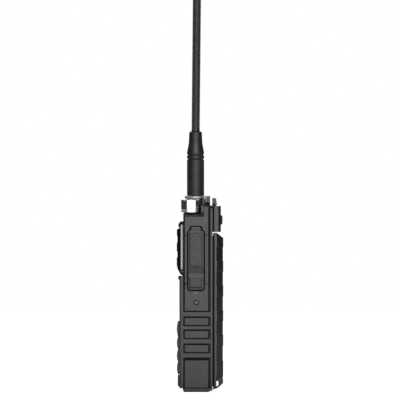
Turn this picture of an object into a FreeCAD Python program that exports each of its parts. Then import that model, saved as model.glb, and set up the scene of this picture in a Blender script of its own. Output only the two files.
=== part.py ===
"""Handheld radio transceiver with a long whip antenna, as separate sub-parts.

Millimetres. +Z is up, the keypad faces -Y, the battery is at +Y and the accessory
jacks are on +X. The origin is on the base, in the middle of the whole object's box.
"""
import FreeCAD
import Part
import math
import os

Vector = FreeCAD.Vector

# ---- driving dimensions ---------------------------------------------------------

RAIL_X = 29.0            # half width over the raised side rails and ribs
PANEL_X = 27.8           # half width over the recessed side panels
SIDE_MAX_X = 30.0        # half width over the jack cover and the talk button
CREST_Y = 17.17          # front of the keys (-Y) and back of the battery (+Y)
FACE_Y = -15.2           # front face around the display and keys
UPPER_Y = -12.4          # front face behind the loudspeaker grille
REAR_Y = 9.25            # back of the housing
TOP_Z = 137.6            # top deck
STEP_Z = 85.4            # where the front steps back below the grille
FRONT_FOOT_Z = 2.8       # underside of the front overhang
WALL = 2.0               # front wall
CAVITY_X = 25.0          # half width of the inside
OPENING_X = 26.2         # half width of the rear opening
LEDGE_Y = 6.2            # ledge that the gasket lies on
CAVITY_Z = (4.4, 133.8)
OPENING_Z = (3.2, 135.0)
INNER_FACE_Y = FACE_Y + WALL
INNER_UPPER_Y = UPPER_Y + WALL

WINDOW_Y = (-12.5, 7.8)  # side windows, at the rail surface
WINDOW_BEVEL_Y = (1.4, 1.8)
RIB_WINDOWS_Z = ((28.4, 35.8), (38.8, 46.2), (48.4, 55.8))
RIB_BEVEL = 1.2
BOTTOM_WINDOW_Z = (2.3, 25.5)
MAIN_WINDOW_Z0 = 58.8

KNOB_X, KNOB_Y = 19.5, -6.7
KNOB_R = 7.2
KNOB_Z = (132.2, 142.0)
NOTCH_FLOOR_Z = 131.3
NOTCH_WALL_Y = 0.9
NOTCH_INNER_X = 11.8

ANT_X, ANT_Y = -17.0, -3.3
COLLAR_Z = (142.4, 144.6)
TAIL_Y, TAIL_R = 2.5, 5.0          # rear lobe of the antenna seat
TAIL_FRONT_Y, TAIL_FOOT_Z = 4.2, 140.3
BOOT_Z = (144.65, 192.5)
BOOT_R = 6.35
WHIP_TILT_DEG = 0.54     # the whip leans a little towards the battery
WHIP_FOOT_Z = 186.5
TIP_Z = 530.0
WHIP_R = 3.15

COVER_Y = (-8.95, 3.0)   # accessory jack cover
COVER_Z = (75.0, 118.9)
COVER_GAP = 0.7
COVER_BACK_X = 27.05
COVER_FACE_X = 29.4
POCKET_X = 26.9
HINGE_Z = 88.2           # flexing line of the jack cover
BLOCK_Z = (89.6, 117.8)  # jack block behind the cover
JACK_Y = -2.975
SPEAKER_JACK = (103.2, 1.75)   # height and bore radius, 3.5 mm plug
MIC_JACK = (114.2, 1.25)       # height and bore radius, 2.5 mm plug
JACK_DEPTH = 12.0
USB_Z = 94.2

KEY_ROWS_Z = ((40.9, 51.9), (31.8, 40.4), (22.5, 31.2), (13.1, 21.9))
KEY_COLUMNS = (3, 4, 4, 4)
KEY_FIELD_X = 22.4       # half width of the key field
KEY_GAP = 0.5
KEY_BACK_Y = -13.0
KEY_EDGE_Y = -16.25

TALK_Y = (-7.3, 1.9)     # talk button and side keys on the far side
TALK_Z = (88.3, 112.3)
SIDE_KEYS_Z = {"side_key_upper": (116.2, 123.2), "side_key_lower": (77.6, 84.6)}
TALK_GAP = 0.3

PIVOT_Y, PIVOT_Z = 10.6, 115.4     # battery tilts out about its top edge
BATTERY_FRONT_Y = 9.6
BATTERY_SPLIT_Y = 10.8
BATTERY_X = 27.5
BATTERY_BACK_Y = 16.9
BATTERY_FOOT_Z = 3.4
GRIP_PITCH = 18.2
LATCH_Y, LATCH_Z = 15.1, 9.0
LATCH_X = 13.2
PIN_R = 0.8

BLOCK_TOP_Z = 137.2
CLIP_HOLE_X = 13.0
CLIP_HOLE_Z = 126.85
CLIP_HOLE_R = 1.25

BOSSES = ((-21.8, 8.5), (21.8, 8.5), (-21.8, 85.5), (21.8, 85.5), (-7.0, 129.5), (7.0, 129.5))
SCREW_Y, SCREW_Z = -2.8, 65.9      # small ringed screw on each side

SPEAKER_X, SPEAKER_Z = -4.0, 104.5
BOARD_Y = (-10.0, -8.8)


# ---- small helpers --------------------------------------------------------------

def box(x, y, z):
    """Box from three (low, high) pairs."""
    corner = Vector(x[0], y[0], z[0])
    return Part.makeBox(x[1] - x[0], y[1] - y[0], z[1] - z[0], corner)


def rod(radius, start, end):
    """Cylinder between two points."""
    way = Vector(*end) - Vector(*start)
    return Part.makeCylinder(radius, way.Length, Vector(*start), way)


def rect(a, b, radius=0.0):
    """Corners of a rectangle from two (low, high) pairs."""
    return [(a[0], b[0], radius), (a[1], b[0], radius), (a[1], b[1], radius), (a[0], b[1], radius)]


def grown(span, by):
    """A (low, high) pair, wider by the same length at both ends."""
    return span[0] - by, span[1] + by


def mirrored(points):
    """A half outline at +a, given in order, closed with its mirror image at -a."""
    return points + [(-a, b, r) for a, b, r in reversed(points)]


def corner_arc(before, corner, after, radius):
    """Start, middle and end of the arc that rounds one corner."""
    back = (before - corner).normalize()
    ahead = (after - corner).normalize()
    half = back.getAngle(ahead) / 2
    reach = radius / math.tan(half)
    bisector = (back + ahead).normalize()
    middle = corner + bisector * (radius / math.sin(half) - radius)
    return corner + back * reach, middle, corner + ahead * reach


def outline(points, place):
    """Closed wire through (a, b, radius) corners; place puts (a, b) in space."""
    flat = [Vector(a, b, 0) for a, b, r in points]
    arcs = []
    for i, (a, b, radius) in enumerate(points):
        after = flat[(i + 1) % len(flat)]
        if radius > 0:
            arcs.append(corner_arc(Vector(flat[i - 1]), Vector(flat[i]), Vector(after), radius))
        else:
            arcs.append((flat[i], None, flat[i]))
    edges = []
    for i, (start, middle, end) in enumerate(arcs):
        if middle is not None:
            edges.append(Part.Arc(place(start), place(middle), place(end)).toShape())
        following = arcs[(i + 1) % len(arcs)][0]
        if (following - end).Length > 1e-6:
            edges.append(Part.LineSegment(place(end), place(following)).toShape())
    return Part.Wire(edges)


def slab_x(points, x):
    """Outline of (y, z, radius) corners, extruded from x[0] to x[1]."""
    wire = outline(points, lambda p: Vector(x[0], p.x, p.y))
    return Part.Face(wire).extrude(Vector(x[1] - x[0], 0, 0))


def slab_y(points, y):
    """Outline of (x, z, radius) corners, extruded from y[0] to y[1]."""
    wire = outline(points, lambda p: Vector(p.x, y[0], p.y))
    return Part.Face(wire).extrude(Vector(0, y[1] - y[0], 0))


def slab_z(points, z):
    """Outline of (x, y, radius) corners, extruded from z[0] to z[1]."""
    wire = outline(points, lambda p: Vector(p.x, p.y, z[0]))
    return Part.Face(wire).extrude(Vector(0, 0, z[1] - z[0]))


def turned(points, x, y):
    """Outline of (radius, z, corner radius) points, turned about a vertical line."""
    wire = outline(points, lambda p: Vector(x + p.x, y, p.y))
    return Part.Face(wire).revolve(Vector(x, y, 0), Vector(0, 0, 1), 360)


def turned_y(points, x, z):
    """Outline of (radius, y, corner radius) points, turned about a line along Y."""
    wire = outline(points, lambda p: Vector(x + p.x, p.y, z))
    return Part.Face(wire).revolve(Vector(x, 0, z), Vector(0, 1, 0), 360)


def join(shapes):
    """One shape from overlapping or touching ones."""
    return shapes[0].fuse(list(shapes[1:])).removeSplitter()


def less(shape, tools):
    """The shape with the tools cut away."""
    return shape.cut(list(tools))


def mirror_x(shape):
    """Mirror image across the middle plane."""
    return shape.mirror(Vector(0, 0, 0), Vector(1, 0, 0))


def both_sides(shape):
    """A shape and its mirror image."""
    return [shape, mirror_x(shape)]


def save(name, solids):
    """Write one sub-part; a list stays separate solids in one file."""
    shape = Part.makeCompound(solids) if isinstance(solids, list) else solids
    if not shape.isValid():
        print("not valid:", name)
    shape.exportStep(os.path.join("parts", name + ".step"))


# ---- housing --------------------------------------------------------------------

def side_window(y, z, bevel_y, bevel_z, corner=0.6):
    """Bevelled window in the +X side, from the rails down to the panel."""
    proud = 0.6
    depth = RAIL_X - PANEL_X
    grow = proud / depth
    outer_y = (y[0] - bevel_y[0] * grow, y[1] + bevel_y[1] * grow)
    outer_z = (z[0] - bevel_z[0] * grow, z[1] + bevel_z[1] * grow)
    inner_y = (y[0] + bevel_y[0], y[1] - bevel_y[1])
    inner_z = (z[0] + bevel_z[0], z[1] - bevel_z[1])
    wires = [
        outline(rect(outer_y, outer_z, corner), lambda p: Vector(RAIL_X + proud, p.x, p.y)),
        outline(rect(inner_y, inner_z, corner), lambda p: Vector(PANEL_X, p.x, p.y)),
    ]
    return Part.makeLoft(wires, True, True)


def side_windows():
    """All windows of the +X ladder, below the step."""
    bevel = (RIB_BEVEL, RIB_BEVEL)
    windows = [side_window(WINDOW_Y, z, WINDOW_BEVEL_Y, bevel) for z in RIB_WINDOWS_Z]
    windows.append(side_window(WINDOW_Y, BOTTOM_WINDOW_Z, WINDOW_BEVEL_Y, (1.1, 2.2)))
    windows.append(side_window(WINDOW_Y, (MAIN_WINDOW_Z0, STEP_Z + 2), WINDOW_BEVEL_Y, (RIB_BEVEL, 0)))
    return windows


def knob_notch():
    """Corner cut for the knob, with a wide bevel at the side panel."""
    bevel_y, bevel_z, bevel_x = 2.1, 2.1, 2.6
    inner_x = PANEL_X - bevel_x
    front, above = -20.0, 145.0
    outer_grow = 0.5
    wires = []
    for x, grow in ((inner_x, 0.0), (PANEL_X + bevel_x * outer_grow, 1.0 + outer_grow)):
        wall = NOTCH_WALL_Y + bevel_y * grow
        floor = NOTCH_FLOOR_Z - bevel_z * grow
        corners = [(front, floor, 0), (wall, floor, 1.2), (wall, above, 0), (front, above, 0)]
        wires.append(outline(corners, lambda p, x=x: Vector(x, p.x, p.y)))
    bevel = Part.makeLoft(wires, True, True)
    corners = [(front, NOTCH_FLOOR_Z, 0), (NOTCH_WALL_Y, NOTCH_FLOOR_Z, 1.2),
               (NOTCH_WALL_Y, above, 0), (front, above, 0)]
    return join([bevel, slab_x(corners, (NOTCH_INNER_X, inner_x))])


def housing_body():
    """Outside of the housing, before it is hollowed."""
    lower_plan = mirrored([(RAIL_X, REAR_Y, 0), (RAIL_X, FACE_Y, 1.1)])
    lower = slab_z(lower_plan, (FRONT_FOOT_Z, STEP_Z))
    panel_front, panel_rear = WINDOW_Y[0] + WINDOW_BEVEL_Y[0], WINDOW_Y[1] - WINDOW_BEVEL_Y[1]
    upper_plan = mirrored([(RAIL_X, REAR_Y, 0), (RAIL_X, WINDOW_Y[1], 0), (PANEL_X, panel_rear, 0),
                           (PANEL_X, panel_front, 0), (26.6, UPPER_Y, 0)])
    upper = slab_z(upper_plan, (STEP_Z - 0.5, TOP_Z))
    base_profile = [(-12.9, FRONT_FOOT_Z + 1, 0), (-12.9, 2.2, 0), (-11.9, 0, 0), (6.1, 0, 0),
                    (8.1, 1.0, 0), (REAR_Y, 1.0, 0), (REAR_Y, FRONT_FOOT_Z + 1, 0)]
    base = slab_x(base_profile, (-RAIL_X, RAIL_X))
    hood = slab_x([(-15.0, 82.8, 0), (-15.6, 82.8, 0.2), (-16.2, 83.8, 0.4), (-16.0, STEP_Z, 0.5),
                   (-14.6, STEP_Z, 0)], (-25.5, 25.5))
    chin = slab_x([(-15.0, 3.6, 0), (-16.0, 4.0, 0.6), (-16.5, 5.4, 0.8), (-16.5, 11.9, 0.5),
                   (-15.0, 12.2, 0)], (-22.9, 22.9))
    pedestal = rod(6.8, (ANT_X, ANT_Y, TOP_Z - 2), (ANT_X, ANT_Y, COLLAR_Z[0]))
    lobe = rod(TAIL_R, (ANT_X, TAIL_Y, TOP_Z - 2), (ANT_X, TAIL_Y, COLLAR_Z[0]))
    lobe = less(lobe, [box((-30, 0), (TAIL_FRONT_Y - 0.05, 10), (TAIL_FOOT_Z - 0.05, 150))])
    body = join([lower, upper, base, hood, chin])
    body = less(body, [tool for window in side_windows() for tool in both_sides(window)])
    front_view = mirrored([(RAIL_X - 1.0, 0, 0), (RAIL_X, 1.0, 0), (RAIL_X, TOP_Z - 2.2, 0),
                           (RAIL_X - 2.2, TOP_Z, 0)])
    side_view = [(-18, -1, 0), (12, -1, 0), (REAR_Y, 0, 0), (REAR_Y, TOP_Z - 0.3, 0),
                 (REAR_Y - 0.4, TOP_Z, 0), (-11.2, TOP_Z, 0), (UPPER_Y, TOP_Z - 1.2, 0),
                 (UPPER_Y, TOP_Z - 20, 0), (-18, TOP_Z - 20, 0)]
    body = body.common(slab_y(front_view, (-20, 20))).common(slab_x(side_view, (-40, 40)))
    return join([body, pedestal, lobe])


def housing_cavity():
    """Inside of the housing and its stepped rear opening."""
    lower = box((-CAVITY_X, CAVITY_X), (INNER_FACE_Y, LEDGE_Y), (CAVITY_Z[0], STEP_Z - WALL))
    upper = box((-CAVITY_X, CAVITY_X), (INNER_UPPER_Y, LEDGE_Y), (STEP_Z - WALL - 1, 129.0))
    crown = box((-CAVITY_X, 9.8), (INNER_UPPER_Y, LEDGE_Y), (128.5, CAVITY_Z[1]))
    opening = slab_y(rect((-OPENING_X, OPENING_X), OPENING_Z, 1.5), (LEDGE_Y, REAR_Y + 1))
    throat = box((-CAVITY_X, CAVITY_X), (NOTCH_WALL_Y + 3, LEDGE_Y + 0.5), (128.5, CAVITY_Z[1]))
    return join([lower, upper, crown, opening, throat])


def housing_openings():
    """Holes for the display, keys, jacks, buttons, knob, antenna, lamp and microphone."""
    tools = [
        slab_y(rect((-22.0, 22.0), (55.2, 82.4), 1.6), (FACE_Y - 1.5, FACE_Y + 1.1)),
        slab_y(rect((-19.5, 19.5), (57.7, 80.3), 1.0), (FACE_Y - 1, INNER_FACE_Y + 1)),
        slab_y(rect((-22.9, 22.9), (12.7, 52.3), 1.2), (FACE_Y - 2, INNER_FACE_Y + 1)),
        rod(13.5, (SPEAKER_X, UPPER_Y - 1, SPEAKER_Z), (SPEAKER_X, INNER_UPPER_Y + 1, SPEAKER_Z)),
        rod(0.8, (0, -18, 8.4), (0, INNER_FACE_Y + 1, 8.4)),
        rod(3.9, (ANT_X, ANT_Y, 130), (ANT_X, ANT_Y, 150)),
        rod(3.7, (KNOB_X, KNOB_Y, 125), (KNOB_X, KNOB_Y, 135)),
        rod(1.55, (2.5, -6.5, 130), (2.5, -6.5, 140)),
        slab_x(rect((JACK_Y - 5.4, JACK_Y + 5.4), (BLOCK_Z[0] - 0.15, BLOCK_Z[1] + 0.15), 1.2), (22, 29)),
        slab_x(rect(grown(COVER_Y, COVER_GAP), grown(COVER_Z, COVER_GAP), 2.7), (POCKET_X, 30)),
        slab_x([(JACK_Y - 5.6, COVER_Z[1] - 1, 0), (JACK_Y + 5.6, COVER_Z[1] - 1, 0),
                (JACK_Y + 4.4, 122.5, 1.6), (JACK_Y - 4.4, 122.5, 1.6)], (POCKET_X, 30)),
        Part.makeSphere(20.0, Vector(PANEL_X + 19.65, JACK_Y, COVER_Z[0] + 1.0)),
    ]
    for z in (79.6, 115.6):
        tools.append(box((POCKET_X + 0.4, 30), (-11.1, 5.1), (z - 0.55, z + 0.55)))
    for low, high in (TALK_Z, *SIDE_KEYS_Z.values()):
        hole = rect((TALK_Y[0] - TALK_GAP, TALK_Y[1] + TALK_GAP), (low - TALK_GAP, high + TALK_GAP), 2.0)
        tools.append(slab_x(hole, (-31, -20)))
    screw_seat = join([rod(1.9, (PANEL_X - 0.8, SCREW_Y, SCREW_Z), (30, SCREW_Y, SCREW_Z)),
                       rod(0.85, (22, SCREW_Y, SCREW_Z), (30, SCREW_Y, SCREW_Z))])
    return tools + both_sides(screw_seat)


def housing_bosses():
    """Screw bosses behind the front wall, with pilot holes."""
    bosses = []
    for x, z in BOSSES:
        start = INNER_FACE_Y if z < STEP_Z - 4 else INNER_UPPER_Y
        post = rod(2.4, (x, start - 0.5, z), (x, LEDGE_Y - 0.2, z))
        bosses.append(post.cut(rod(0.85, (x, LEDGE_Y - 9, z), (x, LEDGE_Y, z))))
    return bosses


def front_case():
    """Moulded housing: ladder sides, knob notch, jack pocket, hood and chin."""
    shell = less(housing_body(), [knob_notch(), housing_cavity()] + housing_openings())
    return join([shell] + housing_bosses())


def rear_chassis():
    """Die-cast back plate with a heat-sink pad inside and slots for the battery hooks."""
    plate = slab_y(rect((-26.0, 26.0), (3.4, 134.8), 1.4), (LEDGE_Y + 0.6, REAR_Y))
    pad = box((-17, 7), (2.5, LEDGE_Y + 1), (20, 76))
    grooves = [box((-17.5, 7.5), (2.0, 4.8), (z, z + 1.6)) for z in range(24, 74, 5)]
    ribs = [box((x - 0.8, x + 0.8), (3.5, LEDGE_Y + 1), (12, 76)) for x in (-20.5, 10.5, 14.0, 17.5)]
    body = join([less(pad, grooves), plate] + ribs)
    cuts = []
    for x, z in BOSSES:
        cuts.append(rod(1.15, (x, 0, z), (x, 12, z)))
        cuts.append(rod(2.1, (x, REAR_Y - 1.2, z), (x, 12, z)))
    for side in both_sides(box((11.6, 17.4), (7.5, 10), (111.2, 116.4))):
        cuts.append(side)
    cuts.append(slab_y(rect((-9.5, 9.5), (21.6, 28.4), 0.8), (0, 12)))
    return less(body, cuts)


def case_gasket():
    """Flat seal between the housing's ledge and the back plate."""
    outer = slab_y(rect((-26.0, 26.0), (3.45, 134.75), 1.4), (LEDGE_Y, LEDGE_Y + 0.6))
    inner = slab_y(rect((-25.1, 25.1), (4.5, 133.7), 0.8), (LEDGE_Y - 1, LEDGE_Y + 2))
    return outer.cut(inner)


def chassis_screws():
    """Pan-head screws that hold the back plate to the bosses."""
    screws = []
    for x, z in BOSSES:
        head = rod(1.95, (x, REAR_Y - 1.2, z), (x, REAR_Y - 0.1, z))
        slot = box((x - 2.5, x + 2.5), (REAR_Y - 0.6, 12), (z - 0.25, z + 0.25))
        cross = box((x - 0.25, x + 0.25), (REAR_Y - 0.6, 12), (z - 1.2, z + 1.2))
        recess = join([slot.common(box((x - 1.2, x + 1.2), (0, 12), (z - 2, z + 2))), cross])
        shank = rod(0.85, (x, -1.0, z), (x, REAR_Y - 1.2, z))
        screws.append(join([head, shank]).cut(recess))
    return screws


def side_screws():
    """One small screw in a ring seat on each side."""
    head = rod(1.2, (PANEL_X - 0.8, SCREW_Y, SCREW_Z), (PANEL_X, SCREW_Y, SCREW_Z))
    shank = rod(0.85, (24.0, SCREW_Y, SCREW_Z), (PANEL_X - 0.8, SCREW_Y, SCREW_Z))
    socket = slab_x([(SCREW_Y + 0.6 * math.cos(a), SCREW_Z + 0.6 * math.sin(a), 0)
                     for a in (math.radians(60 * i) for i in range(6))], (PANEL_X - 0.6, 30))
    return both_sides(join([head, shank]).cut(socket))


# ---- loudspeaker and display ----------------------------------------------------

def speaker_bezel():
    """Silver frame between the housing and the grille."""
    outer = slab_y(rect((-25.6, 25.6), (89.2, 124.2), 2.5), (-14.2, UPPER_Y))
    inner = slab_y(rect((-21.8, 21.8), (92.8, 120.8), 2.0), (-16, UPPER_Y + 1))
    return outer.cut(inner)


def grille_bars():
    """Three raised bars across the grille."""
    bars = []
    for low, high, crest in ((114.5, 120.4, -17.1), (103.0, 110.8, -CREST_Y), (91.9, 99.7, -CREST_Y)):
        profile = [(-15.6, low, 0), (-16.5, low + 0.2, 0.2), (crest, low + 1.0, 0.4),
                   (crest, high - 0.9, 0.4), (-16.5, high - 0.2, 0.2), (-15.6, high, 0)]
        bars.append(slab_x(profile, (-23.2, 23.2)))
    return bars


def speaker_grille():
    """Black bulging grille with bars and rows of sound slots."""
    profile = [(UPPER_Y, 125.9, 0), (-14.6, 125.7, 0.6), (-15.9, 124.0, 0.5), (-15.95, 122.1, 0.3),
               (-15.3, 121.2, 0.2), (-15.3, 120.5, 0), (-16.7, 119.5, 0), (-16.7, 91.0, 1.5),
               (-14.6, 86.9, 1.0), (UPPER_Y, 85.7, 0)]
    cap = slab_x(profile, (-25.2, 25.2))
    ends = slab_y(rect((-25.2, 25.2), (85.6, 126.0), 3.0), (-18, -10))
    seat = box((-30, 30), (-14.2, UPPER_Y + 1), (89.2, 124.2))
    hollow = box((-21.6, 21.6), (-15.2, -14.0), (93.0, 120.6))
    sides = slab_z(mirrored([(25.2, UPPER_Y, 0), (25.2, -14.3, 0.4), (20.5, -18.0, 0)]), (80, 130))
    body = join([cap.common(ends)] + grille_bars()).common(sides)
    slots = []
    for z in (112.65, 101.35):
        for i in range(-4, 5):
            slots.append(slab_y(rect((4.3 * i - 1.7, 4.3 * i + 1.7), (z - 0.8, z + 0.8), 0.75), (-18, -12.5)))
    return less(body, [seat, hollow] + slots)


def speaker_driver():
    """Loudspeaker basket, cone and magnet as one turned body."""
    profile = [(0.0, -9.2, 0), (2.8, -9.2, 0), (13.6, -10.3, 0), (15.0, -10.3, 0), (15.0, -9.3, 0),
               (8.6, -6.6, 0), (7.2, -6.6, 0), (7.2, -3.4, 0.4), (0.0, -3.4, 0)]
    return turned_y(profile, SPEAKER_X, SPEAKER_Z)


def display_window():
    """Clear plate in front of the display."""
    return slab_y(rect((-21.8, 21.8), (55.4, 82.2), 1.5), (FACE_Y + 0.05, FACE_Y + 1.05))


def lcd_module():
    """Display panel in its carrier."""
    panel = slab_y(rect((-18.8, 18.8), (58.2, 79.8), 0.5), (-13.9, -12.6))
    carrier = box((-18.2, 18.2), (-12.6, BOARD_Y[0]), (57.0, 79.2))
    return join([panel, carrier])


# ---- keys -----------------------------------------------------------------------

def key_places():
    """(x range, z range) of every key, row by row from the top."""
    places = []
    for (low, high), columns in zip(KEY_ROWS_Z, KEY_COLUMNS):
        width = (2 * KEY_FIELD_X - (columns - 1) * KEY_GAP) / columns
        for column in range(columns):
            left = -KEY_FIELD_X + column * (width + KEY_GAP)
            places.append(((left, left + width), (low, high)))
    return places


def key_cap(x, z):
    """One pillow-shaped key."""
    arch_z = Part.Arc(Vector(x[0], KEY_EDGE_Y, z[0]), Vector(x[0], -CREST_Y, (z[0] + z[1]) / 2),
                      Vector(x[0], KEY_EDGE_Y, z[1])).toShape()
    sides_z = Part.makePolygon([Vector(x[0], KEY_EDGE_Y, z[1]), Vector(x[0], KEY_BACK_Y, z[1]),
                                Vector(x[0], KEY_BACK_Y, z[0]), Vector(x[0], KEY_EDGE_Y, z[0])])
    across = Part.Face(Part.Wire([arch_z] + sides_z.Edges)).extrude(Vector(x[1] - x[0], 0, 0))
    shoulder = -CREST_Y + 0.35
    arch_x = Part.Arc(Vector(x[0], shoulder, z[0]), Vector((x[0] + x[1]) / 2, -CREST_Y - 0.02, z[0]),
                      Vector(x[1], shoulder, z[0])).toShape()
    sides_x = Part.makePolygon([Vector(x[1], shoulder, z[0]), Vector(x[1], KEY_BACK_Y, z[0]),
                                Vector(x[0], KEY_BACK_Y, z[0]), Vector(x[0], shoulder, z[0])])
    along = Part.Face(Part.Wire([arch_x] + sides_x.Edges)).extrude(Vector(0, 0, z[1] - z[0]))
    return across.common(along).common(slab_y(rect(x, z, 1.3), (-18, -12)))


def keypad_mat():
    """Rubber sheet with one pad behind each key."""
    sheet = slab_y(rect((-23.6, 23.6), (11.6, 53.4), 1.0), (-11.2, BOARD_Y[0]))
    pads = []
    for x, z in key_places():
        pad = rect((x[0] + 1.2, x[1] - 1.2), (z[0] + 1.2, z[1] - 1.2), 1.0)
        pads.append(slab_y(pad, (-12.2, -11.2)))
    return join([sheet] + pads)


# ---- electronics ----------------------------------------------------------------

def main_board():
    """Circuit board with cut-outs for the loudspeaker and the bosses."""
    board = slab_y(rect((-23.6, 23.6), (5.2, 119.0), 1.0), BOARD_Y)
    cuts = [rod(16.0, (SPEAKER_X, -12, SPEAKER_Z), (SPEAKER_X, -6, SPEAKER_Z))]
    for x, z in BOSSES[:4]:
        cuts.append(rod(2.8, (x, -12, z), (x, -6, z)))
    return less(board, cuts)


def shield_cans():
    """Two screening cans on the back of the board."""
    return [slab_y(rect((-19.5, 6.0), z, 0.8), (BOARD_Y[1], -5.2)) for z in ((12.0, 44.0), (48.0, 79.0))]


def microphone():
    """Microphone capsule behind the chin."""
    return rod(3.0, (0, -13.1, 8.4), (0, BOARD_Y[0], 8.4))


def jack_block():
    """Accessory sockets in one moulded block."""
    block = slab_x(rect((JACK_Y - 5.25, JACK_Y + 5.25), BLOCK_Z, 1.1), (13.4, 26.8))
    flange = box((13.4, 24.4), (JACK_Y - 5.7, JACK_Y + 5.7), (BLOCK_Z[0] - 0.4, BLOCK_Z[1] + 0.4))
    cuts = []
    for z, radius in (SPEAKER_JACK, MIC_JACK):
        cuts.append(rod(radius, (26.8 - JACK_DEPTH, JACK_Y, z), (28, JACK_Y, z)))
    cuts.append(slab_x(rect((JACK_Y - 4.5, JACK_Y + 4.5), (USB_Z - 1.6, USB_Z + 1.6), 1.5), (18.0, 28)))
    return less(join([block, flange]), cuts)


def usb_port():
    """Charging socket: metal shell with a tongue."""
    shell = slab_x(rect((JACK_Y - 4.45, JACK_Y + 4.45), (USB_Z - 1.55, USB_Z + 1.55), 1.45), (18.1, 26.7))
    mouth = slab_x(rect((JACK_Y - 4.2, JACK_Y + 4.2), (USB_Z - 1.3, USB_Z + 1.3), 1.2), (19.5, 28))
    tongue = box((19.0, 26.0), (JACK_Y - 3.3, JACK_Y + 3.3), (USB_Z - 0.35, USB_Z + 0.35))
    return join([shell.cut(mouth), tongue])


def battery_contacts():
    """Three sprung contacts that reach through the back plate."""
    base = box((-8.5, 8.5), (4.0, 6.0), (22.2, 27.8))
    fingers = [slab_x([(5.5, 22.8, 0), (9.0, 22.8, 0.8), (9.45, 25.0, 0.8), (9.0, 27.2, 0.8), (5.5, 27.2, 0)],
                      (x - 1.2, x + 1.2)) for x in (-6.0, 0.0, 6.0)]
    return join([base] + fingers)


def status_led():
    """Indicator lamp in the top deck."""
    return turned([(0, 131.0, 0), (2.4, 131.0, 0), (2.4, 133.7, 0), (1.45, 133.7, 0),
                   (1.45, TOP_Z + 0.3, 0.3), (0, TOP_Z + 0.6, 0)], 2.5, -6.5)


# ---- knob -----------------------------------------------------------------------

def volume_pot():
    """Volume control with its threaded bush and nut."""
    body = box((KNOB_X - 4.6, KNOB_X + 4.6), (-10.2, -2.0), (120.2, 128.8))
    bush = rod(3.6, (KNOB_X, KNOB_Y, 128), (KNOB_X, KNOB_Y, 133.2))
    hexagon = [(KNOB_X + 5.2 * math.cos(a), KNOB_Y + 5.2 * math.sin(a), 0)
               for a in (math.radians(60 * i) for i in range(6))]
    nut = slab_z(hexagon, (NOTCH_FLOOR_Z, 132.9))
    return join([body, bush, nut]).cut(rod(2.05, (KNOB_X, KNOB_Y, 121), (KNOB_X, KNOB_Y, 140)))


def d_shaft(radius, low, high):
    """Round shaft with a flat above the bush."""
    shaft = rod(radius, (KNOB_X, KNOB_Y, low), (KNOB_X, KNOB_Y, high))
    flat = box((KNOB_X + radius - 0.6, KNOB_X + 4), (KNOB_Y - 4, KNOB_Y + 4), (134.0, 150))
    return shaft.cut(flat)


def volume_knob():
    """Turned knob with a shallow dish on top and a fine skirt groove."""
    profile = [(0, 133.6, 0), (5.7, 133.6, 0), (5.7, KNOB_Z[0], 0), (KNOB_R - 0.5, KNOB_Z[0], 0),
               (KNOB_R, KNOB_Z[0] + 0.5, 0), (KNOB_R, 133.7, 0), (KNOB_R - 0.25, 133.9, 0),
               (KNOB_R - 0.25, 134.3, 0), (KNOB_R, 134.5, 0), (KNOB_R, KNOB_Z[1], 0.7),
               (5.6, KNOB_Z[1], 0.2), (5.4, 141.2, 0), (0, 141.2, 0)]
    return turned(profile, KNOB_X, KNOB_Y).cut(d_shaft(2.0, 130, 140.2))


def knob_cap():
    """Disc in the knob's dish, with an index line."""
    disc = turned([(0, 141.2, 0), (5.3, 141.2, 0), (5.3, 141.7, 0.2), (0, 141.7, 0)], KNOB_X, KNOB_Y)
    line = box((KNOB_X - 0.4, KNOB_X + 0.4), (KNOB_Y - 5.4, KNOB_Y - 1.6), (141.45, 142))
    return disc.cut(line)


# ---- antenna --------------------------------------------------------------------

def antenna_collar():
    """Bright seat under the antenna, drawn out to a tail at the rear."""
    ring = turned([(4.0, COLLAR_Z[0], 0), (7.6, COLLAR_Z[0], 0), (8.0, 142.8, 0), (8.0, 144.2, 0.2),
                   (7.6, COLLAR_Z[1], 0.2), (4.0, COLLAR_Z[1], 0)], ANT_X, ANT_Y)
    tail = turned([(0, TAIL_FOOT_Z, 0), (TAIL_R, TAIL_FOOT_Z, 0), (TAIL_R, 144.2, 0.2),
                   (TAIL_R - 0.4, COLLAR_Z[1], 0.2), (0, COLLAR_Z[1], 0)], ANT_X, TAIL_Y)
    clear = rod(6.85, (ANT_X, ANT_Y, 130), (ANT_X, ANT_Y, COLLAR_Z[0]))
    front = box((-30, 0), (-20, TAIL_FRONT_Y), (130, COLLAR_Z[0]))
    hole = rod(4.0, (ANT_X, ANT_Y, 130), (ANT_X, ANT_Y, 150))
    return join([ring, less(tail, [clear, front, hole])])


def antenna_connector():
    """Threaded connector on the deck with its nut inside."""
    profile = [(0.55, 127.5, 0), (5.0, 127.5, 0), (5.0, 133.7, 0), (3.85, 133.7, 0), (3.85, COLLAR_Z[0], 0),
               (3.1, COLLAR_Z[0] + 0.2, 0), (3.1, 150.2, 0), (2.8, 150.6, 0), (1.6, 150.6, 0),
               (1.6, 146.5, 0), (0.55, 146.5, 0)]
    return turned(profile, ANT_X, ANT_Y)


def antenna_plug():
    """Threaded sleeve and centre pin moulded into the boot."""
    profile = [(3.17, 145.2, 0), (4.4, 145.2, 0), (4.4, 152.0, 0), (2.3, 152.0, 0), (2.3, 158.0, 0),
               (0, 158.0, 0), (0, 147.5, 0), (0.45, 147.9, 0), (0.45, 151.2, 0), (3.17, 151.2, 0)]
    return turned(profile, ANT_X, ANT_Y)


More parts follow.
